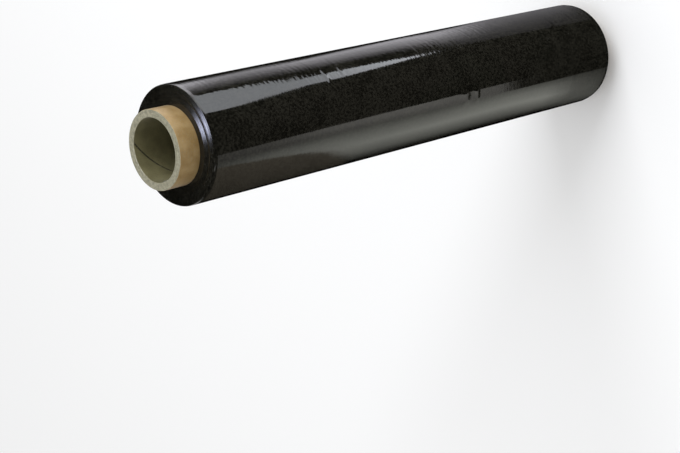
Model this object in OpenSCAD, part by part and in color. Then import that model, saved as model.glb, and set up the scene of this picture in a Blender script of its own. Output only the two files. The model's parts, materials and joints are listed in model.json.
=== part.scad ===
// Roll of stretch wrap: film wound on a paper core that stands out past it at both ends.
// The roll stands on the lower end of its core. +Z runs up along its axis, and the origin
// is the centre of the core's lower end.

/* [Core] */
// Bore of the paper core, which slips over a two inch spindle or handle
core_bore_d = 51; // [38:0.5:77]
// Wall of the core, wound up from many plies of paper
core_wall = 6.5; // [3:0.5:12]
// Length of bare core past the film at each end
core_stub = 19; // [5:1:60]
// Rounding of the edges where the core was cut to length
core_edge_r = 0.6; // [0.2:0.1:1.4]

/* [Film] */
// Width of the film, which is the length of the wound body
film_w = 500; // [200:5:750]
// Depth of film wound on the core, from the core out to the last turn
film_build = 16.5; // [11:0.5:45]
// Gap between the core and the first turn
wind_gap = 0.05; // [0.02:0.01:0.3]

/* [Turn edges at the film's ends] */
// Width of one visible group of turns on the flat of the end
turn_group_w = 1.5; // [0.8:0.1:2.5]
// How far neighbouring groups of turns lie out of line
turn_step = 0.3; // [0.1:0.05:0.5]
// How far the step between two groups on the flat leans outwards
step_lean = 0.1; // [0.05:0.05:0.3]
// Share of the groups' step and width that varies from group to group
group_scatter = 0.6; // [0:0.1:0.8]
// Width of the rounded shoulder next to the rim, where the turns step back
shoulder_w = 4.5; // [3:0.5:10]
// How far the last turn lies back from the flat of the end
shoulder_drop = 3.75; // [1:0.25:8]
// How full the shoulder is: 2 is a quarter ellipse, and more comes closer to a square corner
shoulder_fullness = 5; // [2:0.5:8]
// Groups of turns that show on the shoulder
shoulder_groups = 5; // [4:1:9]

/* [Gauge bands round the film] */
// Mean spacing of the hard and soft bands that thick and thin film winds into
band_pitch = 32; // [16:1:60]
// Height of the bands
band_h = 0.15; // [0.05:0.05:0.5]

/* [Hidden] */
$fn = 64;

core_bore_r = core_bore_d / 2;
core_r = core_bore_r + core_wall;
film_inner_r = core_r + wind_gap;
film_r = core_r + film_build;
film_bottom = core_stub;
film_top = film_bottom + film_w;
roll_length = film_top + core_stub;

// The flat of each film end, between the core and the shoulder
flat_r = film_r - shoulder_w;
flat_groups = max(1, round((flat_r - film_inner_r) / turn_group_w));
flat_pitch = (flat_r - film_inner_r) / flat_groups;

// The seeds give each film end and the film's side their own scatter
top_seed = 11;
bottom_seed = 29;
side_seed = 47;

// Points [radius, height] of a quarter round of radius r about centre [cr, cz], from angle a on
edge_steps = 3;
function quarter(cr, cz, r, a) =
    [for (i = [0 : edge_steps]) let (t = a + 90 * i / edge_steps) [cr + r * cos(t), cz + r * sin(t)]];

// Depth of flat group i below the end of the film: the first group is the end, and then every
// other one lies back
function flat_depth(i, scatter) =
    i == 0 ? 0 : turn_step * ((i % 2) + group_scatter * scatter[i]) / 2;

// Radius at which flat group i starts, and where the one before it ends
function flat_start(i) = film_inner_r + flat_pitch * i;

// Points [radius, depth] across the flat: a level for each group, with a leaning step to the next
function flat_points(scatter) = [
    for (i = [0 : flat_groups - 1])
        let (lean = i > 0 ? step_lean : 0, depth = flat_depth(i, scatter))
            each [[flat_start(i) + lean, depth], [flat_start(i + 1), depth]]
];

// Angle at which shoulder group i starts on the shoulder's curve: 0 at the flat, 90 at the rim
function shoulder_angle(i, scatter) =
    let (inside = i > 0 && i < shoulder_groups, shift = inside ? group_scatter * (scatter[i] - 0.5) : 0)
        90 * (i + shift) / shoulder_groups;

// The curve's distance from its centre at angle t, as a share of the shoulder's size
function shoulder_reach(t) =
    pow(pow(sin(t), shoulder_fullness) + pow(cos(t), shoulder_fullness), -1 / shoulder_fullness);

// Radius and depth of the shoulder at angle t
function shoulder_radius(t) = flat_r + shoulder_w * shoulder_reach(t) * sin(t);
function shoulder_depth(t) =
    turn_step + (shoulder_drop - turn_step) * (1 - shoulder_reach(t) * cos(t));

// Points [radius, depth] over the shoulder: each group starts on the curve and ends proud of the next
function shoulder_points(scatter) = [
    for (i = [0 : shoulder_groups - 1])
        for (side = [0, 1])
            let (t = shoulder_angle(i + side, scatter), proud = side == 1 && t < 90 ? turn_step / 2 : 0)
                [shoulder_radius(t), shoulder_depth(t) - proud]
];

// One end of the film from the core out to the rim
function end_points(seed) = concat(
    flat_points(rands(0, 1, flat_groups, seed)),
    shoulder_points(rands(0, 1, shoulder_groups, seed + 1))
);

// Points [radius, height] down the side, where each gauge band has its own radius
side_length = film_w - 2 * shoulder_drop;
side_bands = max(2, round(side_length / band_pitch));
side_scatter = rands(0, 1, side_bands + 1, side_seed);
function side_points() = [
    for (i = [1 : side_bands - 1])
        [film_r - band_h * side_scatter[i],
         film_top - shoulder_drop - side_length * (i + side_scatter[i] / 2) / side_bands]
];

function reversed(points) = [for (i = [len(points) - 1 : -1 : 0]) points[i]];

// Paper tube, with its cut edges slightly rounded
module core() {
    e = core_edge_r;
    profile = concat(
        quarter(core_bore_r + e, e, e, 180),
        quarter(core_r - e, e, e, 270),
        quarter(core_r - e, roll_length - e, e, 0),
        quarter(core_bore_r + e, roll_length - e, e, 90)
    );
    color([0.74, 0.60, 0.43])
        rotate_extrude()
            polygon(profile);
}

// Wound film: the turns are one body, whose ends show the turns' edges as rings
module film() {
    top = [for (p = end_points(top_seed)) [p[0], film_top - p[1]]];
    bottom = [for (p = end_points(bottom_seed)) [p[0], film_bottom + p[1]]];
    color([0.10, 0.10, 0.09])
        rotate_extrude()
            polygon(concat(top, side_points(), reversed(bottom)));
}

core();
film();
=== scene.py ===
"""Roll of black stretch wrap on a paper core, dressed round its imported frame."""

import json
import math

import bmesh
import bpy
from bpy.props import FloatProperty, FloatVectorProperty, IntProperty, PointerProperty
from mathutils import Matrix, Vector


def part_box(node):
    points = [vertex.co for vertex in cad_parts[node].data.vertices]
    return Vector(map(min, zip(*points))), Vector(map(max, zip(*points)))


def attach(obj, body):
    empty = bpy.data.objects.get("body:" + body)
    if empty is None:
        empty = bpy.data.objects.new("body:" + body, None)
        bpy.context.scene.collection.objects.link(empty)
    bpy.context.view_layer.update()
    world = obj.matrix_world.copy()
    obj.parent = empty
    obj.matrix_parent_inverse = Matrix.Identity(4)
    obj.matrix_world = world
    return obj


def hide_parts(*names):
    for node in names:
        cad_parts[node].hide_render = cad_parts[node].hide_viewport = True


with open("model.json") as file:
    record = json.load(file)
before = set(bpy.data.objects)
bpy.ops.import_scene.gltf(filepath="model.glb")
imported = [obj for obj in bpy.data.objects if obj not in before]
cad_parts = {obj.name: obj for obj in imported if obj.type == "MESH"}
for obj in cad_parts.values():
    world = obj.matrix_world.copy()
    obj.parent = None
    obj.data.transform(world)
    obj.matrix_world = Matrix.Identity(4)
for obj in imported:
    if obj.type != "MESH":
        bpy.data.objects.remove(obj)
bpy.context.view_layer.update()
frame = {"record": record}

bl_info = {
    "name": "Stretch Wrap Roll",
    "version": (1, 0, 0),
    "blender": (4, 5, 0),
    "location": "View3D > Sidebar > Wrap Roll",
    "description": "Builds a roll of stretch wrap on its paper core, with a plain studio",
    "category": "Add Mesh",
}

MM = 0.001
core_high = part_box("core")[1]
film_low, film_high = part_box("film")
bore_mount = next(m for m in frame["record"]["mounts"] if m["name"] == "core_bore")


# Node trees


class Field:
    """An output socket that sums and products can be written with."""

    def __init__(self, board, socket):
        self.board = board
        self.socket = socket

    def __add__(self, other):
        return self.board.math("ADD", self, other)

    def __sub__(self, other):
        return self.board.math("SUBTRACT", self, other)

    def __rsub__(self, other):
        return self.board.math("SUBTRACT", other, self)

    def __mul__(self, other):
        return self.board.math("MULTIPLY", self, other)

    def __truediv__(self, other):
        return self.board.math("DIVIDE", self, other)

    def __rtruediv__(self, other):
        return self.board.math("DIVIDE", other, self)


class Board:
    """A node tree under construction."""

    def __init__(self, tree):
        self.tree = tree

    def feed(self, node, inputs):
        """Feeds a node's inputs with values or fields."""
        for key, value in inputs.items():
            if isinstance(value, Field):
                self.tree.links.new(value.socket, node.inputs[key])
            else:
                node.inputs[key].default_value = value

    def node(self, kind, inputs=None, **settings):
        """Adds a node, sets its properties and feeds its inputs."""
        made = self.tree.nodes.new(kind)
        for name, value in settings.items():
            setattr(made, name, value)
        self.feed(made, inputs or {})
        return made

    def field(self, kind, inputs=None, output=0, **settings):
        """Adds a node and returns one of its outputs."""
        return Field(self, self.node(kind, inputs, **settings).outputs[output])

    def math(self, operation, *values):
        return self.field("ShaderNodeMath", dict(enumerate(values)), operation=operation)

    def vector(self, x, y, z):
        return self.field("ShaderNodeCombineXYZ", {0: x, 1: y, 2: z})

    def split(self, vector):
        node = self.node("ShaderNodeSeparateXYZ", {0: vector})
        return [Field(self, socket) for socket in node.outputs]

    def scaled(self, vector, factor):
        """Scales a vector or a colour."""
        return self.field("ShaderNodeVectorMath", {0: vector, "Scale": factor}, operation="SCALE")

    def ease(self, value, start, end, before=0.0, after=1.0):
        """Goes smoothly from before to after as the value goes from start to end."""
        inputs = {
            "Value": value, "From Min": start, "From Max": end, "To Min": before, "To Max": after
        }
        return self.field("ShaderNodeMapRange", inputs, interpolation_type="SMOOTHSTEP")

    def fade(self, value, start, end):
        """Goes smoothly from 1 to 0 as the value goes from start to end."""
        return self.ease(value, start, end, 1.0, 0.0)

    def bell(self, value):
        """1 where the value is 0, and smoothly down to nothing on both sides of it."""
        return self.math("EXPONENT", value * value * -1.0)

    def noise(self, place, size=1.0, detail=0.0, roughness=0.5):
        """Noise in clouds of the given size."""
        inputs = {"Vector": place, "Scale": 1 / size, "Detail": detail, "Roughness": roughness}
        return self.field("ShaderNodeTexNoise", inputs)

    def streaks(self, place, length, width, detail, roughness=0.5):
        """Noise in streaks with a length round the roll and a width along it."""
        x, y, z = self.split(place)
        stretched = self.vector(x / length, y / length, z / width)
        return self.noise(stretched, detail=detail, roughness=roughness)

    def mix(self, share, first, second):
        """Mixes two colours, whose sockets can only be told from others by their numbers."""
        inputs = {0: share, 6: first, 7: second}
        return self.field("ShaderNodeMix", inputs, output=2, data_type="RGBA")

    def from_axis(self, place):
        """Distance from the roll's axis."""
        x, y, _ = self.split(place)
        return self.math("SQRT", x * x + y * y)

    def turn(self, place):
        """Turn round the roll's axis from the camera's side towards +X, in degrees."""
        x, y, _ = self.split(place)
        return self.math("ARCTAN2", x, y * -1.0) * (180 / math.pi)

    def to_end(self, place, bottom, top):
        """Distance along the axis to the nearer end of a piece that goes from bottom to top."""
        z = self.split(place)[2]
        return (top - bottom) / 2 - self.math("ABSOLUTE", z - (top + bottom) / 2)


class Lathe(Board):
    """A geometry tree that turns sheets round the roll's axis and joins them to one skin."""

    def __init__(self, name):
        super().__init__(bpy.data.node_groups.new(name, "GeometryNodeTree"))
        self.tree.interface.new_socket("Skin", in_out="OUTPUT", socket_type="NodeSocketGeometry")
        self.entry = self.tree.nodes.new("NodeGroupInput")
        self.sheets = []

    def size(self, name, kind="NodeSocketFloat"):
        """Adds a named input to the tree."""
        self.tree.interface.new_socket(name, in_out="INPUT", socket_type=kind)
        return Field(self, self.entry.outputs[name])

    def sheet(self, segments, rings, shape):
        """Adds a sheet. For shares along and around, shape gives radius, height and angle."""
        sides = {"Size X": 1.0, "Size Y": 1.0, "Vertices X": segments + 1, "Vertices Y": rings}
        grid = self.field("GeometryNodeMeshGrid", sides)
        across, along, _ = self.split(self.field("GeometryNodeInputPosition"))
        radius, height, angle = shape(along + 0.5, across + 0.5)
        place = self.vector(
            radius * self.math("COSINE", angle), radius * self.math("SINE", angle), height
        )
        sheet = self.field("GeometryNodeSetPosition", {"Geometry": grid, "Position": place})
        self.sheets.append(sheet)

    def skin(self):
        """Joins the sheets and closes the seams between them."""
        joined = self.node("GeometryNodeJoinGeometry")
        for sheet in self.sheets:
            self.tree.links.new(sheet.socket, joined.inputs[0])
        weld_distance = 0.002 * MM
        closed = {"Geometry": Field(self, joined.outputs[0]), "Distance": weld_distance}
        return self.field("GeometryNodeMergeByDistance", closed)

    def raised(self, skin, height):
        """Moves the skin outwards by a height field."""
        offset = self.scaled(self.field("GeometryNodeInputNormal"), height)
        return self.field("GeometryNodeSetPosition", {"Geometry": skin, "Offset": offset})

    def finish(self, skin, material):
        """Ends the tree with the skin, shaded smooth and in its material."""
        smooth = self.field("GeometryNodeSetShadeSmooth", {"Geometry": skin})
        real = self.field("GeometryNodeRealizeInstances", {"Geometry": smooth})
        painted = self.field("GeometryNodeSetMaterial", {"Geometry": real, "Material": material})
        self.node("NodeGroupOutput", {"Skin": painted})


def add_object(name, data):
    """Adds an object to the scene."""
    made = bpy.data.objects.new(name, data)
    bpy.context.collection.objects.link(made)
    return made


def new_material(name):
    """A new material, a board for its tree, and its shader."""
    material = bpy.data.materials.new(name)
    material.use_nodes = True
    return material, Board(material.node_tree), material.node_tree.nodes["Principled BSDF"]


def turned_piece(name, lathe, group, others):
    """Runs a geometry tree and returns its result as a plain mesh object. Each of the tree's
    inputs takes the group's property of the same name, or what others holds under that name."""
    values = {size.name: getattr(group, size.identifier) for size in group.bl_rna.properties}
    values.update(others)
    seedling = add_object(name + "_tree", bpy.data.meshes.new(name + "_tree"))
    modifier = seedling.modifiers.new(name, "NODES")
    modifier.node_group = lathe.tree
    for item in lathe.tree.interface.items_tree:
        if item.in_out == "INPUT":
            modifier[item.identifier] = values[item.name]
    evaluated = seedling.evaluated_get(bpy.context.evaluated_depsgraph_get())
    mesh = bpy.data.meshes.new_from_object(evaluated)
    bpy.data.objects.remove(seedling)
    shell = bmesh.new()
    shell.from_mesh(mesh)
    if not all(edge.is_manifold for edge in shell.edges):
        raise RuntimeError(f"the skin of {name} isn't closed")
    bmesh.ops.recalc_face_normals(shell, faces=shell.faces)
    shell.to_mesh(mesh)
    shell.free()
    mesh.name = name
    return add_object(name, mesh)


# Paper core


class WrapRollCore(bpy.types.PropertyGroup):
    """Sizes and colours of the paper core"""

    bore_radius: FloatProperty(
        name="Bore Radius", description="Radius of the hole through the core",
        default=bore_mount["dims"]["r_mm"] * MM, min=0.01, unit="LENGTH",
    )
    radius: FloatProperty(
        name="Radius", description="Outer radius of the core",
        default=core_high.x, min=0.01, unit="LENGTH",
    )
    length: FloatProperty(
        name="Length", description="Length of the core",
        default=core_high.z, min=0.05, unit="LENGTH",
    )
    edge_radius: FloatProperty(
        name="Edge Radius", description="Rounding of the cut edges",
        default=0.6 * MM, min=0.0001, unit="LENGTH",
    )
    ply_width: FloatProperty(
        name="Ply Width", description="Width of the paper strip that the bore is wound from",
        default=100 * MM, min=0.03, unit="LENGTH",
    )
    ply_thickness: FloatProperty(
        name="Ply Thickness", description="Thickness of one ply, which shows as rings on the cut",
        default=0.55 * MM, min=0.0001, unit="LENGTH",
    )
    seam_turn: FloatProperty(
        name="Seam Turn", description="Where the bore's seam meets the upper cut, round from +X",
        default=math.radians(68.5), subtype="ANGLE",
    )
    seam_depth: FloatProperty(
        name="Seam Depth", description="Depth of the seam between two strips in the bore",
        default=0.15 * MM, min=0.0, unit="LENGTH",
    )
    seam_width: FloatProperty(
        name="Seam Width", description="Width of the seam between two strips in the bore",
        default=0.75 * MM, min=0.0001, unit="LENGTH",
    )
    fray: FloatProperty(
        name="Fray", description="Roughness of the saw cut",
        default=0.16 * MM, min=0.0, unit="LENGTH",
    )
    segments: IntProperty(
        name="Segments", description="Columns of the mesh round the core", default=176, min=8,
    )
    wall_rings: IntProperty(
        name="Wall Rings", description="Rings of the mesh along the outside and along the bore",
        default=181, min=2,
    )
    cut_rings: IntProperty(
        name="Cut Rings", description="Rings of the mesh across each cut", default=30, min=4,
    )
    kraft: FloatVectorProperty(
        name="Kraft", description="Colour of the outer ply",
        default=(0.36, 0.247, 0.104), size=3, min=0, max=1, subtype="COLOR",
    )
    kraft_dark: FloatVectorProperty(
        name="Dark Kraft", description="Colour of the darker clouds and fibres in the outer ply",
        default=(0.26, 0.16, 0.052), size=3, min=0, max=1, subtype="COLOR",
    )
    greyboard: FloatVectorProperty(
        name="Greyboard", description="Colour of the plies where they are cut",
        default=(0.285, 0.27, 0.190), size=3, min=0, max=1, subtype="COLOR",
    )
    # The liner's colour is partly the ply's own and partly painted shade: it is set much darker
    # than the greyboard to stand in for the dim light inside the bore.
    shaded_liner: FloatVectorProperty(
        name="Liner", description="Colour of the ply that lines the bore",
        default=(0.145, 0.131, 0.064), size=3, min=0, max=1, subtype="COLOR",
    )


def ply_rings(board, place, thickness):
    """Noise in rings as thick as the plies."""
    return board.noise(board.vector(board.from_axis(place) / thickness, 0.0, 0.0), detail=1.0)


def paper_material(core):
    """Kraft outside, greyboard on the cuts, and in the bore a liner darkened with painted shade,
    darkest along the seam.
    """
    material, board, shader = new_material("core_paper")
    place = board.field("ShaderNodeTexCoord", output="Object")
    clouds = board.noise(place, size=9 * MM, detail=2.0, roughness=0.55)
    patches = board.noise(place, size=2.6 * MM, detail=2.0, roughness=0.6)
    specks = board.noise(place, size=0.9 * MM, detail=2.0, roughness=0.6)
    fibres = board.streaks(place, length=0.5 * MM, width=0.22 * MM, detail=3.0, roughness=0.6)
    plies = ply_rings(board, place, core.ply_thickness)

    kraft_share = board.ease(clouds * 0.7 + fibres * 0.3, 0.32, 0.68)
    outside = board.mix(kraft_share, (*core.kraft_dark, 1), (*core.kraft, 1))
    cut_tone = board.ease(
        plies * 0.3 + specks * 0.3 + patches * 0.4, 0.36, 0.64, before=0.62, after=1.28
    )
    cut = board.scaled(tuple(core.greyboard), cut_tone)
    liner_tone = board.ease(clouds * 0.6 + specks * 0.4, 0.3, 0.7, before=0.8, after=1.2)
    # Painted shade: along the seam the lining falls almost to black, standing in for the shadow in
    # the gap between the strips.
    seam_gap = board.field("ShaderNodeAttribute", output="Fac", attribute_name="seam_gap")
    painted_seam_shade = board.ease(seam_gap, core.seam_width * 0.8, core.seam_width * 1.6, before=0.05)
    # Painted shade: the lining takes the liner's darkened colour inside the bore.
    shaded_lining = board.scaled(tuple(core.shaded_liner), liner_tone * painted_seam_shade)

    rim = 0.35 * MM
    raggedness = 0.5 * MM
    ragged = (specks - 0.5) * raggedness + board.from_axis(place)
    on_cut = board.ease(ragged, core.bore_radius + rim * 0.2, core.bore_radius + rim)
    outside_share = board.ease(ragged, core.radius - rim, core.radius - rim * 0.2)
    grain_height = 0.05 * MM
    grain = {"Strength": 1.0, "Distance": grain_height, "Height": fibres * 0.6 + specks * 0.4}
    board.feed(shader, {
        "Base Color": board.mix(outside_share, board.mix(on_cut, shaded_lining, cut), outside),
        "Roughness": board.ease(clouds, 0.3, 0.7, before=0.42, after=0.52),
        "Normal": board.field("ShaderNodeBump", grain),
    })
    shader.inputs["Specular IOR Level"].default_value = 0.45
    shader.inputs["Sheen Weight"].default_value = 0.15
    shader.inputs["Sheen Roughness"].default_value = 0.35
    return material


def core_lathe():
    """Tube whose columns follow the winding of the plies, with a seam in the bore."""
    lathe = Lathe("Paper core")
    bore = lathe.size("Bore Radius")
    radius = lathe.size("Radius")
    length = lathe.size("Length")
    edge = lathe.size("Edge Radius")
    pitch = lathe.size("Seam Pitch")
    seam_turn = lathe.size("Seam Turn")
    seam_depth = lathe.size("Seam Depth")
    seam_width = lathe.size("Seam Width")
    ply = lathe.size("Ply Thickness")
    fray = lathe.size("Fray")
    segments = lathe.size("Segments", "NodeSocketInt")
    wall_rings = lathe.size("Wall Rings", "NodeSocketInt")
    cut_rings = lathe.size("Cut Rings", "NodeSocketInt")
    material = lathe.size("Material", "NodeSocketMaterial")

    # How strongly the columns crowd together at the seam: 0 is evenly spaced, and 1 the limit
    crowding = 0.94
    middle = (bore + radius) / 2
    half_wall = (radius - bore) / 2

    def column(around):
        """Angle from the seam, where the columns crowd together."""
        full = around * math.tau
        return full - lathe.math("SINE", full) * crowding

    def angle(around, height):
        return column(around) + seam_turn + (length - height) / pitch * math.tau

    def wall(inward, wall_radius):
        def shape(along, around):
            share = 1 - along if inward else along
            height = edge + (length - edge * 2) * share
            return wall_radius, height, angle(around, height)
        return shape

    def cut(upper):
        def shape(along, around):
            swing = lathe.math("COSINE", along * math.pi)
            cut_radius = middle + half_wall * swing if upper else middle - half_wall * swing
            past = lathe.math("ABSOLUTE", cut_radius - middle) - (half_wall - edge)
            into = lathe.math("MINIMUM", lathe.math("MAXIMUM", past / edge, 0.0), 1.0)
            depth = edge * (1 - lathe.math("SQRT", 1 - into * into))
            height = length - depth if upper else depth
            return cut_radius, height, angle(around, height)
        return shape

    lathe.sheet(segments, wall_rings, wall(True, bore))
    lathe.sheet(segments, cut_rings, cut(False))
    lathe.sheet(segments, wall_rings, wall(False, radius))
    lathe.sheet(segments, cut_rings, cut(True))
    skin = lathe.skin()

    place = lathe.field("GeometryNodeInputPosition")
    x, y, z = lathe.split(place)
    seam_angle = seam_turn + (length - z) / pitch * math.tau
    off_seam = lathe.math("WRAP", lathe.math("ARCTAN2", y, x) - seam_angle, math.pi, -math.pi)
    gap = lathe.math("ABSOLUTE", off_seam) * bore
    skin = lathe.field(
        "GeometryNodeStoreNamedAttribute", {"Geometry": skin, "Name": "seam_gap", "Value": gap}
    )
    in_bore = lathe.fade(lathe.from_axis(place), bore + edge * 0.5, bore + edge)
    groove = lathe.bell(gap / (seam_width * 0.7)) * seam_depth * in_bore

    to_end = lathe.to_end(place, 0.0, length)
    near_cut = lathe.fade(to_end, 0.3 * MM, 2.5 * MM)
    on_cut = lathe.fade(to_end, 0.1 * MM, 0.5 * MM)
    fuzz = (lathe.noise(place, size=0.9 * MM, detail=3.0, roughness=0.6) - 0.5) * fray * 2.0
    rings = (ply_rings(lathe, place, ply) - 0.5) * fray
    wave_height = 0.08 * MM
    waves = (lathe.noise(place, size=14 * MM, detail=1.0) - 1.0) * wave_height
    skin = lathe.raised(skin, waves + fuzz * near_cut + rings * on_cut - groove)
    lathe.finish(skin, material)
    return lathe


class WRAPROLL_OT_core(bpy.types.Operator):
    """Builds the paper core with its cut ends and the seam in its bore"""

    bl_idname = "wrap_roll.core"
    bl_label = "Paper Core"
    bl_options = {"REGISTER", "UNDO"}

    def execute(self, context):
        core = context.scene.wrap_roll_core
        around_bore = math.tau * core.bore_radius
        if core.ply_width >= around_bore:
            raise RuntimeError("the ply has to be narrower than the bore's circumference")
        pitch = core.ply_width / math.sqrt(1 - (core.ply_width / around_bore) ** 2)
        others = {"Seam Pitch": pitch, "Material": paper_material(core)}
        piece = turned_piece("paper_core", core_lathe(), core, others)
        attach(piece, "root")
        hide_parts("core")
        return {"FINISHED"}


# Wound film


class WrapRollFilm(bpy.types.PropertyGroup):
    """Sizes and colours of the wound film"""

    radius: FloatProperty(
        name="Radius", description="Radius of the last turn",
        default=film_high.x, min=0.02, unit="LENGTH",
    )
    wind_gap: FloatProperty(
        name="Wind Gap", description="Gap between the core and the first turn",
        default=0.05 * MM, min=0.0, unit="LENGTH",
    )
    bottom: FloatProperty(
        name="Bottom", description="Height of the film's lower end",
        default=film_low.z, min=0.0, unit="LENGTH",
    )
    top: FloatProperty(
        name="Top", description="Height of the film's upper end",
        default=film_high.z, min=0.05, unit="LENGTH",
    )
    shoulder_width: FloatProperty(
        name="Shoulder Width", description="Width of the rounded shoulder next to the rim",
        default=4.5 * MM, min=0.001, unit="LENGTH",
    )
    shoulder_drop: FloatProperty(
        name="Shoulder Drop", description="How far the last turn lies back from the film's end",
        default=3.75 * MM, min=0.0005, unit="LENGTH",
    )
    shoulder_fullness: FloatProperty(
        name="Shoulder Fullness",
        description="2 gives a quarter ellipse, and more comes closer to a square corner",
        default=5.0, min=2.0, max=8.0,
    )
    turn_width: FloatProperty(
        name="Turn Width", description="Width of a group of turns that shows on an end",
        default=1.1 * MM, min=0.0002, unit="LENGTH",
    )
    turn_step: FloatProperty(
        name="Turn Step", description="How far the groups of turns lie out of line",
        default=0.2 * MM, min=0.0, unit="LENGTH",
    )
    turn_lean: FloatProperty(
        name="Turn Lean", description="How far the face of a group of turns leans outwards",
        default=math.radians(25), min=0.0, max=math.radians(45), subtype="ANGLE",
    )
    calm_width: FloatProperty(
        name="Calm Width", description="Width of the first turns on the core, which lie in line",
        default=6 * MM, min=0.0, unit="LENGTH",
    )
    stop_place: FloatProperty(
        name="Stop Place", description="How far from the core the winding stopped for a while",
        default=10.5 * MM, min=0.0, unit="LENGTH",
    )
    stop_depth: FloatProperty(
        name="Stop Depth", description="Depth of the groove where the winding stopped",
        default=0.35 * MM, min=0.0, unit="LENGTH",
    )
    band_width: FloatProperty(
        name="Band Width", description="Mean width of the gauge bands round the film",
        default=40 * MM, min=0.005, unit="LENGTH",
    )
    band_height: FloatProperty(
        name="Band Height", description="Height of the gauge bands round the film",
        default=0.07 * MM, min=0.0, unit="LENGTH",
    )
    ridge_width: FloatProperty(
        name="Ridge Width", description="Mean spacing of the fine ridges round the film",
        default=2.1 * MM, min=0.001, unit="LENGTH",
    )
    ridge_height: FloatProperty(
        name="Ridge Height", description="Height of the fine ridges round the film",
        default=0.1 * MM, min=0.0, unit="LENGTH",
    )
    segments: IntProperty(
        name="Segments", description="Columns of the mesh round the film", default=88, min=8,
    )
    side_rings: IntProperty(
        name="Side Rings", description="Rings of the mesh along the side", default=740, min=2,
    )
    shoulder_rings: IntProperty(
        name="Shoulder Rings", description="Rings of the mesh over each shoulder",
        default=56, min=2,
    )
    flat_rings: IntProperty(
        name="Flat Rings", description="Rings of the mesh across the flat of each end",
        default=84, min=2,
    )
    black: FloatVectorProperty(
        name="Black", description="Colour of the film",
        default=(0.0045, 0.0043, 0.0032), size=3, min=0, max=1, subtype="COLOR",
    )
    edge_roughness: FloatProperty(
        name="Edge Roughness", description="How much rougher the turns' edges are than the side",
        default=0.1, min=0.0, max=0.9, subtype="FACTOR",
    )
    haze: FloatVectorProperty(
        name="Haze", description="Colour of the paler grain in the film",
        default=(0.0165, 0.0157, 0.012), size=3, min=0, max=1, subtype="COLOR",
    )


# Middle of the film's slack side, in degrees round from the camera's side towards +X
SLACK_MIDDLE = 108


def slack_share(board, place, start, end, taut=0.0):
    """1 on the slack side, and smoothly down to taut from start to end degrees off its middle."""
    off = board.math("WRAP", board.turn(place) - SLACK_MIDDLE, 180.0, -180.0)
    return board.ease(board.math("ABSOLUTE", off), start, end, before=1.0, after=taut)


def film_material(film):
    """Glossy black plastic with a fine cloudy grain, which puckers on the slack side."""
    material, board, shader = new_material("black_film")
    place = board.field("ShaderNodeTexCoord", output="Object")
    grain = board.noise(place, size=2.2 * MM, detail=3.0, roughness=0.7)
    clouds = board.noise(place, size=22 * MM, detail=2.0)
    haze_share = board.ease(grain * 0.8 + clouds * 0.2, 0.4, 0.62)

    dimple_height, pucker_height = 0.01 * MM, 0.08 * MM
    dimples = board.noise(place, size=1.3 * MM, detail=2.0) * dimple_height
    slack = slack_share(board, place, start=64, end=70)
    puckers = board.noise(place, size=3.4 * MM, detail=1.0) * pucker_height * slack
    bumps = {"Strength": 1.0, "Distance": 1.0, "Height": dimples + puckers}

    to_end = board.to_end(place, film.bottom, film.top)
    on_end = board.fade(to_end, film.shoulder_drop * 0.4, film.shoulder_drop * 0.9)
    smooth = board.ease(clouds, 0.3, 0.7, before=0.045, after=0.075)
    board.feed(shader, {
        "Base Color": board.mix(haze_share, (*film.black, 1), (*film.haze, 1)),
        "Roughness": on_end * film.edge_roughness + smooth,
        "Normal": board.field("ShaderNodeBump", bumps),
    })
    shader.inputs["IOR"].default_value = 1.5
    return material


# Creases round the film: distance below the film's top, width and height in mm, and the turns from
# the camera's side towards +X between which each one runs, in degrees
CREASES = (
    (136.5, 1.6, 0.08, 22, 46),
    (155, 1.3, 0.04, 34, 46),
    (259, 1.3, 0.07, 23.5, 27),
    (290, 5.0, 0.17, -26, -14),
    (305, 2.6, 0.1, -26, -14),
    (436, 1.5, 0.06, 28, 43),
)


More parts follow.
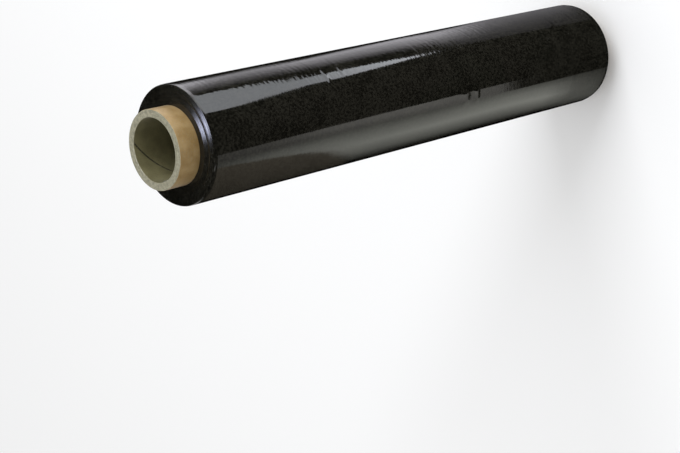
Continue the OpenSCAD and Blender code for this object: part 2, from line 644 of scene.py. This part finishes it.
def film_lathe():
    """Turns of film as one closed skin, with their edges on both ends."""
    lathe = Lathe("Wound film")
    inner = lathe.size("Inner Radius")
    radius = lathe.size("Radius")
    bottom = lathe.size("Bottom")
    top = lathe.size("Top")
    shoulder = lathe.size("Shoulder Width")
    drop = lathe.size("Shoulder Drop")
    fullness = lathe.size("Shoulder Fullness")
    turn_width = lathe.size("Turn Width")
    turn_step = lathe.size("Turn Step")
    turn_lean = lathe.size("Turn Lean")
    calm = lathe.size("Calm Width")
    stop_place = lathe.size("Stop Place")
    stop_depth = lathe.size("Stop Depth")
    band_width = lathe.size("Band Width")
    band_height = lathe.size("Band Height")
    ridge_width = lathe.size("Ridge Width")
    ridge_height = lathe.size("Ridge Height")
    segments = lathe.size("Segments", "NodeSocketInt")
    side_rings = lathe.size("Side Rings", "NodeSocketInt")
    shoulder_rings = lathe.size("Shoulder Rings", "NodeSocketInt")
    flat_rings = lathe.size("Flat Rings", "NodeSocketInt")
    material = lathe.size("Material", "NodeSocketMaterial")

    flat = radius - shoulder

    def angle(around):
        return around * math.tau

    def side(along, around):
        return radius, bottom + drop + (top - bottom - drop * 2) * along, angle(around)

    def shoulder_sheet(upper):
        def shape(along, around):
            turn = (1 - along if upper else along) * (math.pi / 2)
            sine, cosine = lathe.math("SINE", turn), lathe.math("COSINE", turn)
            total = lathe.math("POWER", sine, fullness) + lathe.math("POWER", cosine, fullness)
            reach = lathe.math("POWER", total, -1 / fullness)
            depth = drop * (1 - reach * cosine)
            height = top - depth if upper else bottom + depth
            return flat + shoulder * reach * sine, height, angle(around)
        return shape

    def flat_sheet(upper):
        def shape(along, around):
            share = 1 - along if upper else along
            return inner + (flat - inner) * share, top if upper else bottom, angle(around)
        return shape

    def hole(along, around):
        return inner, top - (top - bottom) * along, angle(around)

    hole_rings = 2
    lathe.sheet(segments, side_rings, side)
    lathe.sheet(segments, hole_rings, hole)
    for upper in (False, True):
        lathe.sheet(segments, shoulder_rings, shoulder_sheet(upper))
        lathe.sheet(segments, flat_rings, flat_sheet(upper))
    skin = lathe.skin()

    place = lathe.field("GeometryNodeInputPosition")
    z = lathe.split(place)[2]
    from_axis = lathe.from_axis(place)
    # Differs enough between the two ends to give each its own scatter of turn edges
    by_end = z / (200 * MM)
    sway_width = 0.9 * MM
    sway = (lathe.noise(place, size=30 * MM) - 0.5) * sway_width
    ring = (from_axis + sway) / turn_width
    uneven = lathe.noise(lathe.vector(ring * 0.6, by_end, 0.0), detail=1.0) * 1.2
    tooth = lathe.math("FRACT", ring + uneven) * turn_width * lathe.math("TANGENT", turn_lean)
    rings = lathe.noise(lathe.vector(ring, by_end, 3.0), detail=2.0, roughness=0.6)
    outer = lathe.noise(lathe.vector(ring * 0.45, by_end, 7.0), detail=1.0)
    gentle = lathe.ease(outer, 0.38, 0.62, before=0.25)
    stop_width = 0.7 * MM
    in_stop = lathe.bell((from_axis + sway * 0.3 - inner - stop_place) / stop_width)
    past_stop = lathe.ease(from_axis, inner + stop_place, inner + stop_place + 1 * MM)
    lean = 1.0 - past_stop + past_stop * gentle
    past_calm = lathe.ease(from_axis, inner + calm * 0.65, inner + calm * 1.25, before=0.1)
    lively = past_calm * (1.0 - in_stop)
    edges = ((rings - 0.5) * turn_step - tooth * lean) * lively

    bands = (lathe.streaks(place, 40 * MM, band_width, detail=4.0) - 0.5) * band_height
    slack = slack_share(lathe, place, start=69, end=81, taut=0.12)
    ridges = (lathe.streaks(place, 60 * MM, ridge_width, detail=1.0) - 0.5) * ridge_height * slack
    turn = lathe.turn(place)
    # Degrees over which a crease starts and ends, to both sides of its turns
    crease_fade = 2
    for below, width, height, start, end in CREASES:
        across = (z - top + below * MM) / (width * MM)
        starting = lathe.ease(turn, start - crease_fade, start + crease_fade)
        ending = lathe.fade(turn, end - crease_fade, end + crease_fade)
        ridges = ridges + lathe.bell(across) * (height * MM) * (starting * ending)

    to_end = lathe.to_end(place, bottom, top)
    on_end = lathe.fade(to_end, drop * 0.7, drop)
    off_core = lathe.ease(from_axis, inner, inner + 0.5 * MM)
    on_side = lathe.ease(to_end, drop * 0.9, drop * 1.5)
    end_height = (edges - in_stop * stop_depth) * on_end * off_core
    skin = lathe.raised(skin, end_height + (bands + ridges) * on_side)
    lathe.finish(skin, material)
    return lathe


class WRAPROLL_OT_film(bpy.types.Operator):
    """Builds the wound film with the turns' edges on its ends"""

    bl_idname = "wrap_roll.film"
    bl_label = "Wound Film"
    bl_options = {"REGISTER", "UNDO"}

    def execute(self, context):
        film = context.scene.wrap_roll_film
        core = context.scene.wrap_roll_core
        inner = core.radius + film.wind_gap
        if film.radius - film.shoulder_width <= inner:
            raise RuntimeError("the shoulder is wider than the film's wall")
        others = {"Inner Radius": inner, "Material": film_material(film)}
        piece = turned_piece("wound_film", film_lathe(), film, others)
        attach(piece, "root")
        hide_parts("film")
        return {"FINISHED"}


# Studio


class WrapRollStage(bpy.types.PropertyGroup):
    """Camera, floor and light"""

    camera_back: FloatProperty(
        name="Camera Back", description="How far the camera stands from the roll's axis",
        default=0.9752, unit="LENGTH",
    )
    camera_height: FloatProperty(
        name="Camera Height", description="Height of the camera over the floor",
        default=1.2472, unit="LENGTH",
    )
    camera_pan: FloatProperty(
        name="Camera Pan", description="Turn of the camera to the left of the axis",
        default=math.radians(5.742), subtype="ANGLE",
    )
    camera_tilt: FloatProperty(
        name="Camera Tilt", description="How far the camera looks down",
        default=math.radians(41.868), subtype="ANGLE",
    )
    camera_roll: FloatProperty(
        name="Camera Roll", description="Turn of the camera about its line of sight",
        default=math.radians(106.97), subtype="ANGLE",
    )
    lens: FloatProperty(
        name="Lens", description="Focal length on a 36 mm wide sensor, in millimetres",
        default=82.445, min=1,
    )
    floor_colour: FloatVectorProperty(
        name="Floor", description="Colour of the floor",
        default=(0.96, 0.96, 0.96), size=3, min=0, max=1, subtype="COLOR",
    )
    daylight: FloatProperty(
        name="Daylight", description="Strength of the even light from all round",
        default=0.8, min=0,
    )
    key_power: FloatProperty(
        name="Key Power", description="Power of the soft lamp beside the roll, in watts",
        default=26.0, min=0,
    )
    reach: FloatProperty(
        name="Reach", description="How far the softboxes that the film mirrors stand from it",
        default=3.0, min=0.5, unit="LENGTH",
    )


def camera_axes(stage):
    """Right, up and ahead of the camera."""
    pan, tilt, roll = stage.camera_pan, stage.camera_tilt, stage.camera_roll
    ahead = Vector((
        -math.sin(pan) * math.cos(tilt), math.cos(pan) * math.cos(tilt), -math.sin(tilt)
    ))
    level = Vector((math.cos(pan), math.sin(pan), 0))
    up = level.cross(ahead) * math.cos(roll) + level * math.sin(roll)
    return ahead.cross(up), up, ahead


def camera_place(stage):
    return Vector((0, -stage.camera_back, stage.camera_height))


def add_camera(stage):
    data = bpy.data.cameras.new("camera")
    data.sensor_width = 36
    data.lens = stage.lens
    camera = add_object("camera", data)
    right, up, ahead = camera_axes(stage)
    turn = Matrix((right, up, -ahead)).transposed().to_4x4()
    camera.matrix_world = Matrix.Translation(camera_place(stage)) @ turn
    bpy.context.scene.camera = camera


def add_floor(stage):
    """Plain pale floor. The film, which mirrors a dark room, doesn't mirror it."""
    half_side = 12.0
    corners = [(x * half_side, y * half_side, 0) for x, y in ((-1, -1), (1, -1), (1, 1), (-1, 1))]
    mesh = bpy.data.meshes.new("floor")
    mesh.from_pydata(corners, [], [(0, 1, 2, 3)])
    material, _, shader = new_material("floor")
    shader.inputs["Base Color"].default_value = (*stage.floor_colour, 1)
    shader.inputs["Roughness"].default_value = 0.9
    shader.inputs["Specular IOR Level"].default_value = 0.0
    mesh.materials.append(material)
    floor = add_object("floor", mesh)
    floor.visible_glossy = False


def glow_material(name):
    """Glows in the colour and at the strength of the mesh's glow attribute."""
    material, board, _ = new_material(name)
    board.tree.nodes.clear()
    glow = board.field("ShaderNodeAttribute", attribute_name="glow")
    light = board.field("ShaderNodeEmission", {"Color": glow, "Strength": 1.0})
    board.node("ShaderNodeOutputMaterial", {"Surface": light})
    material.cycles.emission_sampling = "NONE"
    return material


def glow_card(name, columns, rows, point, glow):
    """Mesh that only mirrors see: point and glow give each corner's place and colour."""
    corners = [(i / (columns - 1), j / (rows - 1)) for j in range(rows) for i in range(columns)]
    faces = [
        (k, k + 1, k + 1 + columns, k + columns)
        for j in range(rows - 1)
        for k in range(j * columns, (j + 1) * columns - 1)
    ]
    mesh = bpy.data.meshes.new(name)
    mesh.from_pydata([point(u, v) for u, v in corners], [], faces)
    colours = mesh.attributes.new("glow", "FLOAT_COLOR", "POINT")
    for k, (u, v) in enumerate(corners):
        colours.data[k].color = (*glow(u, v), 1)
    mesh.materials.append(glow_material(name))
    card = add_object(name, mesh)
    card.visible_camera = False
    card.visible_diffuse = False
    card.visible_transmission = False
    card.visible_volume_scatter = False
    card.visible_shadow = False


def between(first, second, share):
    """The values at a share of the way from one tuple to another."""
    return tuple(a + (b - a) * share for a, b in zip(first, second))


def along_rows(rows, below):
    """The pairs at a distance below the film's top, between the rows on either side of it."""
    for first, second in zip(rows, rows[1:]):
        if below <= second[0]:
            break
    share = min(max((below - first[0]) / (second[0] - first[0]), 0), 1)
    return [between(one, other, share) for one, other in zip(first[1:], second[1:])]


def linear(shown):
    """Linear value of a brightness as a picture shows it."""
    return ((shown + 0.055) / 1.055) ** 2.4 if shown > 0.04 else shown / 12.92


def mirror_share(cosine, ior=1.5):
    """Share of the light that glossy plastic mirrors at this cosine of the angle of incidence."""
    inside = math.sqrt(1 - (1 - cosine * cosine) / ior ** 2)
    across = (cosine - ior * inside) / (cosine + ior * inside)
    along = (ior * cosine - inside) / (ior * cosine + inside)
    return (across ** 2 + along ** 2) / 2


def spot_on_side(film, turn, below):
    """A spot on the film's side and its normal, at a distance below the film's top in mm."""
    normal = Vector((math.sin(turn), -math.cos(turn), 0))
    return normal * film.radius + Vector((0, 0, film.top - below * MM)), normal


def spot_on_edges(film, turn, tilt):
    """A spot on the film's upper end and its normal, tilted outwards by an angle in degrees."""
    outward = Vector((math.sin(turn), -math.cos(turn), 0))
    upward = Vector((0, 0, 1))
    tilt = math.radians(tilt)
    from_rim = 6 * MM
    spot = outward * (film.radius - from_rim) + upward * film.top
    return spot, outward * math.sin(tilt) + upward * math.cos(tilt)


def mirrored_card(stage, film, name, tint, rows, where=spot_on_side):
    """Softbox where the film mirrors it to the camera. Each row gives what where() takes, such as
    a distance below the film's top, and then pairs of a turn from the camera's side towards +X,
    in degrees, and the brightness that shows there."""
    eye = camera_place(stage)
    first, last = rows[0][0], rows[-1][0]
    black = sum(film.black) / 3

    def pair(u, v):
        row = along_rows(rows, first + (last - first) * v)
        spot = u * (len(row) - 1)
        k = min(int(spot), len(row) - 2)
        return between(row[k], row[k + 1], spot - k)

    def sight(u, v):
        spot, normal = where(film, math.radians(pair(u, v)[0]), first + (last - first) * v)
        return spot, normal, (spot - eye).normalized()

    def point(u, v):
        spot, normal, ray = sight(u, v)
        return spot + stage.reach * (ray - 2 * ray.dot(normal) * normal)

    def glow(u, v):
        _, normal, ray = sight(u, v)
        shown = max(linear(pair(u, v)[1]) - black, 0.0)
        return tuple(c * shown / mirror_share(-ray.dot(normal)) for c in tint)

    glow_card(name, columns=40, rows=120, point=point, glow=glow)


def add_mirrored_cards(stage, film):
    """The softboxes that show as bands along the film's side and as sheen on its upper end."""
    mirrored_card(stage, film, "window", (0.96, 1.0, 1.06), [
        (-150, (20.8, 0.43), (42.5, 0.43)),
        (35, (22.3, 0.43), (42.5, 0.43)),
        (60, (24.2, 0.43), (41.5, 0.43)),
        (100, (27.3, 0.44), (38.8, 0.44)),
        (116, (28.8, 0.44), (35.3, 0.44)),
        (130, (28, 0.45), (37.5, 0.47)),
        (160, (29.1, 0.53), (37, 0.56)),
        (200, (30.9, 0.56), (36.8, 0.59)),
        (232, (32.6, 0.62), (35.7, 0.64)),
        (250, (34.1, 0.66), (34.7, 0.66)),
    ])
    mirrored_card(stage, film, "upper_glow", (1.0, 0.97, 1.04), [
        (-250, (41, 0.55), (49, 0.6), (55, 0.62), (62, 0.64), (65, 0.64), (69, 0.36), (73, 0.0)),
        (-60, (41, 0.55), (49, 0.6), (55, 0.62), (62, 0.64), (65, 0.64), (69, 0.36), (73, 0.0)),
        (0, (44, 0.0), (49, 0.22), (55, 0.44), (62, 0.64), (65, 0.62), (69, 0.32), (73, 0.0)),
        (40, (44, 0.0), (49, 0.16), (55, 0.3), (62, 0.46), (66, 0.48), (70, 0.24), (73.5, 0.0)),
        (90, (44, 0.0), (49, 0.16), (55, 0.34), (62, 0.46), (66, 0.49), (71, 0.3), (74.5, 0.0)),
        (130, (44, 0.0), (49, 0.24), (55, 0.41), (62, 0.54), (65, 0.56), (69, 0.22), (71.5, 0.0)),
        (200, (44, 0.0), (48, 0.22), (54, 0.4), (62, 0.52), (67, 0.58), (71, 0.45), (74, 0.0)),
        (255, (43, 0.04), (48, 0.22), (54, 0.42), (62, 0.53), (69, 0.63), (73, 0.5), (76, 0.0)),
        (290, (38, 0.14), (44, 0.28), (52, 0.44), (60, 0.58), (66, 0.62), (72, 0.42), (75.5, 0.0)),
        (330, (36, 0.14), (44, 0.22), (52, 0.34), (60, 0.44), (68, 0.5), (72, 0.52), (77, 0.0)),
        (365, (36, 0.14), (44, 0.2), (52, 0.25), (60, 0.32), (68, 0.37), (76, 0.42), (86, 0.2)),
        (430, (35, 0.13), (44, 0.19), (52, 0.24), (60, 0.29), (68, 0.34), (78, 0.37), (86, 0.34)),
        (504, (34, 0.12), (44, 0.15), (52, 0.2), (60, 0.27), (68, 0.32), (78, 0.34), (86, 0.33)),
    ])
    mirrored_card(stage, film, "lower_step", (1.01, 0.99, 0.93), [
        (-4, (-25.5, 0.17), (-23, 0.17), (-20.5, 0.17), (-18, 0.17)),
        (60, (-25.5, 0.2), (-23, 0.18), (-20, 0.2), (-17.3, 0.2)),
        (100, (-25.5, 0.23), (-23, 0.21), (-20, 0.25), (-16.8, 0.25)),
        (130, (-25.5, 0.23), (-23, 0.23), (-20, 0.27), (-16.5, 0.28)),
        (200, (-25.5, 0.24), (-23.3, 0.25), (-20.5, 0.28), (-16, 0.3)),
        (250, (-25.5, 0.25), (-23.3, 0.26), (-20.5, 0.29), (-15.8, 0.31)),
        (290, (-25.5, 0.27), (-23, 0.26), (-20, 0.27), (-15.6, 0.28)),
        (330, (-25.5, 0.28), (-23, 0.27), (-20, 0.27), (-15.5, 0.27)),
        (348, (-25.5, 0.26), (-23, 0.24), (-20, 0.25), (-15.4, 0.25)),
    ])
    mirrored_card(stage, film, "lower_glow", (0.985, 1.0, 0.91), [
        (-4, (-29, 0.2), (-28.6, 0.2), (-28.2, 0.19), (-27, 0.18), (-25.5, 0.17)),
        (60, (-33.5, 0.28), (-32, 0.285), (-30, 0.28), (-28, 0.26), (-25.5, 0.21)),
        (100, (-38, 0.34), (-35, 0.33), (-32, 0.31), (-29, 0.28), (-25.5, 0.22)),
        (125, (-44, 0.37), (-39, 0.36), (-34, 0.34), (-29, 0.29), (-25.5, 0.23)),
        (145, (-55, 0.29), (-47, 0.39), (-38, 0.38), (-31, 0.31), (-25.5, 0.24)),
        (160, (-70, 0.12), (-56, 0.31), (-43, 0.4), (-33, 0.33), (-25.5, 0.24)),
        (250, (-72, 0.06), (-60, 0.27), (-44, 0.43), (-33, 0.34), (-25.5, 0.24)),
        (350, (-72, 0.05), (-60, 0.26), (-43, 0.45), (-33, 0.38), (-25.5, 0.28)),
        (410, (-72, 0.08), (-60, 0.3), (-45, 0.46), (-33, 0.37), (-25.5, 0.24)),
        (450, (-74, 0.15), (-60, 0.27), (-46, 0.3), (-33, 0.25), (-25.5, 0.18)),
        (504, (-74, 0.22), (-60, 0.27), (-46, 0.22), (-33, 0.17), (-25.5, 0.14)),
    ])
    mirrored_card(stage, film, "brown_patch", (1.13, 0.98, 0.76), [
        (-4, (-74, 0.13), (-29, 0.18)),
        (60, (-74, 0.13), (-33.5, 0.18)),
        (100, (-74, 0.13), (-38, 0.18)),
        (125, (-74, 0.13), (-44, 0.18)),
        (145, (-74, 0.13), (-55, 0.17)),
        (158, (-74, 0.13), (-70, 0.14)),
    ])
    mirrored_card(stage, film, "overhead", (0.8, 0.85, 1.1), [
        (14, (-5, 0.0), (3, 0.3), (11, 0.4), (22, 0.3), (36, 0.0)),
        (22, (-5, 0.0), (3, 0.75), (11, 0.95), (22, 0.65), (36, 0.0)),
        (34, (-5, 0.0), (3, 0.75), (11, 0.95), (22, 0.65), (36, 0.0)),
        (42, (-5, 0.0), (3, 0.3), (11, 0.4), (22, 0.3), (36, 0.0)),
    ], where=spot_on_edges)


def add_panel(stage, name, turn, width, lowest, highest, strength):
    """Softbox beside the roll that fades out to both sides. Its turn from the camera's side
    towards +X, its width and its lowest and highest edges are in degrees, seen from the origin."""
    fading_share = 0.2

    def point(u, v):
        bearing = math.radians(turn + (u - 0.5) * width)
        rise = math.tan(math.radians(lowest + (highest - lowest) * v))
        return stage.reach * Vector((math.sin(bearing), -math.cos(bearing), rise))

    def glow(u, v):
        return (strength * min(u / fading_share, (1 - u) / fading_share, 1.0),) * 3

    glow_card(name, columns=21, rows=12, point=point, glow=glow)


def add_panels(stage):
    """The softboxes for level views and for the sheen of the paper and the rim."""
    for name, turn, width, lowest, highest, strength in (
        ("panel_front", 60, 34, -22, 20, 2.6),
        ("panel_side", 148, 12, -22, 4, 3.2),
        ("panel_back", 222, 30, -22, 4, 2.4),
        ("panel_edge", 305, 9, -22, 2, 1.8),
        ("panel_right", 97, 32, -22, 4, 3.6),
    ):
        add_panel(stage, name, turn, width, lowest, highest, strength)


def add_lamp(stage):
    """Large soft lamp beside the roll."""
    place, aim = Vector((1.45, -0.6, 1.5)), Vector((0, 0, 0.45))
    side = 1.3
    data = bpy.data.lights.new("key", "AREA")
    data.shape = "RECTANGLE"
    data.size = side
    data.size_y = side
    data.energy = stage.key_power
    data.color = (0.95, 0.97, 1.0)
    lamp = add_object("key", data)
    lamp.location = place
    lamp.rotation_euler = (aim - place).to_track_quat("-Z", "Y").to_euler()


def add_world(stage):
    """Even white light from all round, which the glossy film doesn't mirror."""
    world = bpy.data.worlds.new("studio")
    world.use_nodes = True
    background = world.node_tree.nodes["Background"]
    background.inputs["Color"].default_value = (1, 1, 1, 1)
    background.inputs["Strength"].default_value = stage.daylight
    world.cycles_visibility.glossy = False
    bpy.context.scene.world = world


class WRAPROLL_OT_stage(bpy.types.Operator):
    """Sets up the camera, the pale floor and the soft studio light"""

    bl_idname = "wrap_roll.stage"
    bl_label = "Studio"
    bl_options = {"REGISTER", "UNDO"}

    def execute(self, context):
        stage = context.scene.wrap_roll_stage
        film = context.scene.wrap_roll_film
        add_camera(stage)
        add_floor(stage)
        add_world(stage)
        add_mirrored_cards(stage, film)
        add_panels(stage)
        add_lamp(stage)
        context.scene.view_settings.view_transform = "Standard"
        return {"FINISHED"}


# Sidebar


class VIEW3D_PT_wrap_roll(bpy.types.Panel):
    """Lists the roll's pieces and their sizes"""

    bl_idname = "VIEW3D_PT_wrap_roll"
    bl_label = "Wrap Roll"
    bl_space_type = "VIEW_3D"
    bl_region_type = "UI"
    bl_category = "Wrap Roll"

    def draw(self, context):
        for operator, sizes in (
            (WRAPROLL_OT_core, context.scene.wrap_roll_core),
            (WRAPROLL_OT_film, context.scene.wrap_roll_film),
            (WRAPROLL_OT_stage, context.scene.wrap_roll_stage),
        ):
            box = self.layout.box()
            box.operator(operator.bl_idname)
            for name in sizes.__annotations__:
                box.prop(sizes, name)


CLASSES = (
    WrapRollCore,
    WrapRollFilm,
    WrapRollStage,
    WRAPROLL_OT_core,
    WRAPROLL_OT_film,
    WRAPROLL_OT_stage,
    VIEW3D_PT_wrap_roll,
)


def register():
    for cls in CLASSES:
        bpy.utils.register_class(cls)
    bpy.types.Scene.wrap_roll_core = PointerProperty(type=WrapRollCore)
    bpy.types.Scene.wrap_roll_film = PointerProperty(type=WrapRollFilm)
    bpy.types.Scene.wrap_roll_stage = PointerProperty(type=WrapRollStage)


def unregister():
    del bpy.types.Scene.wrap_roll_stage
    del bpy.types.Scene.wrap_roll_film
    del bpy.types.Scene.wrap_roll_core
    for cls in reversed(CLASSES):
        bpy.utils.unregister_class(cls)


def main():
    register()
    bpy.ops.wrap_roll.core()
    bpy.ops.wrap_roll.film()
    bpy.ops.wrap_roll.stage()


if __name__ == "__main__":
    main()
